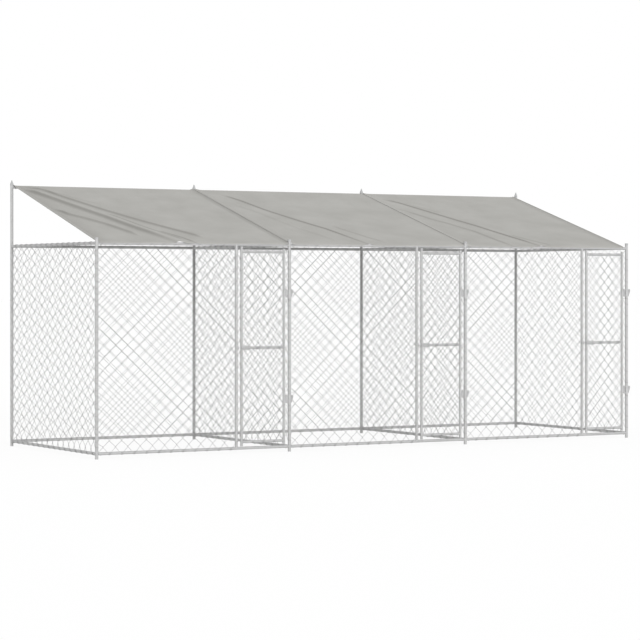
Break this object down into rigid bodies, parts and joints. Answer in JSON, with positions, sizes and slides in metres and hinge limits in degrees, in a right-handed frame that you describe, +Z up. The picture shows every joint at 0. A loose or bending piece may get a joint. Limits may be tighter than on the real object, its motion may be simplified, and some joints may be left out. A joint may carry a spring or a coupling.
{
  "type": "outdoor dog kennel run",
  "caption": "Row of tube-framed kennel bays with diagonal wire mesh walls, narrow hinged mesh doors with slide bolts, and a single-slope fabric roof.",
  "frame": {"origin": "on the ground, in the middle of the run", "axes": "+X along the row of bays, +Y to the tall back, +Z up"},
  "size_m": [6.0477, 2.07, 2.61],
  "materials": {
    "galvanised_tube": "dull galvanised zinc with a faint spangle",
    "net_wire": "drawn galvanised wire",
    "roof_fabric": "coated woven polyester, matt",
    "cap_plastic": "moulded grey plastic",
    "zinc_fasteners": "bright zinc plate",
    "pressed_steel": "galvanised pressed steel"
  },
  "bodies": {
    "frame": {"front_post_1": "galvanised_tube", "front_post_2": "galvanised_tube", "front_post_3": "galvanised_tube", "front_post_4": "galvanised_tube", "back_post_1": "galvanised_tube", "back_post_2": "galvanised_tube", "back_post_3": "galvanised_tube", "back_post_4": "galvanised_tube", "front_post_caps": "cap_plastic", "back_post_caps": "cap_plastic", "front_bottom_rails": "galvanised_tube", "front_top_rails": "galvanised_tube", "back_bottom_rails": "galvanised_tube", "back_top_rails": "galvanised_tube", "cross_bottom_rails": "galvanised_tube", "cross_top_rails": "galvanised_tube", "ridge_rails": "galvanised_tube", "door_jambs": "galvanised_tube", "rail_spigots": "galvanised_tube", "rail_screws": "zinc_fasteners", "hinge_bands": "pressed_steel", "hinge_pins": "zinc_fasteners", "clamp_bolts": "zinc_fasteners", "clamp_nuts": "zinc_fasteners", "bolt_keepers": "pressed_steel", "front_net_1": "net_wire", "front_net_2": "net_wire", "front_net_3": "net_wire", "back_net_1": "net_wire", "back_net_2": "net_wire", "back_net_3": "net_wire", "cross_net_1": "net_wire", "cross_net_2": "net_wire", "cross_net_3": "net_wire", "cross_net_4": "net_wire", "roof_sheet_1": "roof_fabric", "roof_sheet_2": "roof_fabric", "roof_sheet_3": "roof_fabric"},
    "door_1": {"door_stiles_1": "galvanised_tube", "door_rails_1": "galvanised_tube", "door_plugs_1": "cap_plastic", "door_net_1": "net_wire", "hinge_eyes_1": "pressed_steel", "bolt_housing_1": "pressed_steel"},
    "bolt_1": {"slide_bolt_1": "zinc_fasteners"},
    "door_2": {"door_stiles_2": "galvanised_tube", "door_rails_2": "galvanised_tube", "door_plugs_2": "cap_plastic", "door_net_2": "net_wire", "hinge_eyes_2": "pressed_steel", "bolt_housing_2": "pressed_steel"},
    "bolt_2": {"slide_bolt_2": "zinc_fasteners"},
    "door_3": {"door_stiles_3": "galvanised_tube", "door_rails_3": "galvanised_tube", "door_plugs_3": "cap_plastic", "door_net_3": "net_wire", "hinge_eyes_3": "pressed_steel", "bolt_housing_3": "pressed_steel"},
    "bolt_3": {"slide_bolt_3": "zinc_fasteners"}
  },
  "joints": [
    {"name": "door_1_swing", "type": "hinge", "parent": "frame", "child": "door_1", "pos_m": [-1.033, -1, 0.5], "axis": [0, 0, 1], "range_deg": [0, 110]},
    {"name": "bolt_1_slide", "type": "slide", "parent": "door_1", "child": "bolt_1", "axis": [-1, 0, 0], "range_m": [0, 0.05]},
    {"name": "door_2_swing", "type": "hinge", "parent": "frame", "child": "door_2", "pos_m": [0.967, -1, 0.5], "axis": [0, 0, 1], "range_deg": [0, 110]},
    {"name": "bolt_2_slide", "type": "slide", "parent": "door_2", "child": "bolt_2", "axis": [-1, 0, 0], "range_m": [0, 0.05]},
    {"name": "door_3_swing", "type": "hinge", "parent": "frame", "child": "door_3", "pos_m": [2.967, -1, 0.5], "axis": [0, 0, 1], "range_deg": [0, 110]},
    {"name": "bolt_3_slide", "type": "slide", "parent": "door_3", "child": "bolt_3", "axis": [-1, 0, 0], "range_m": [0, 0.05]}
  ]
}
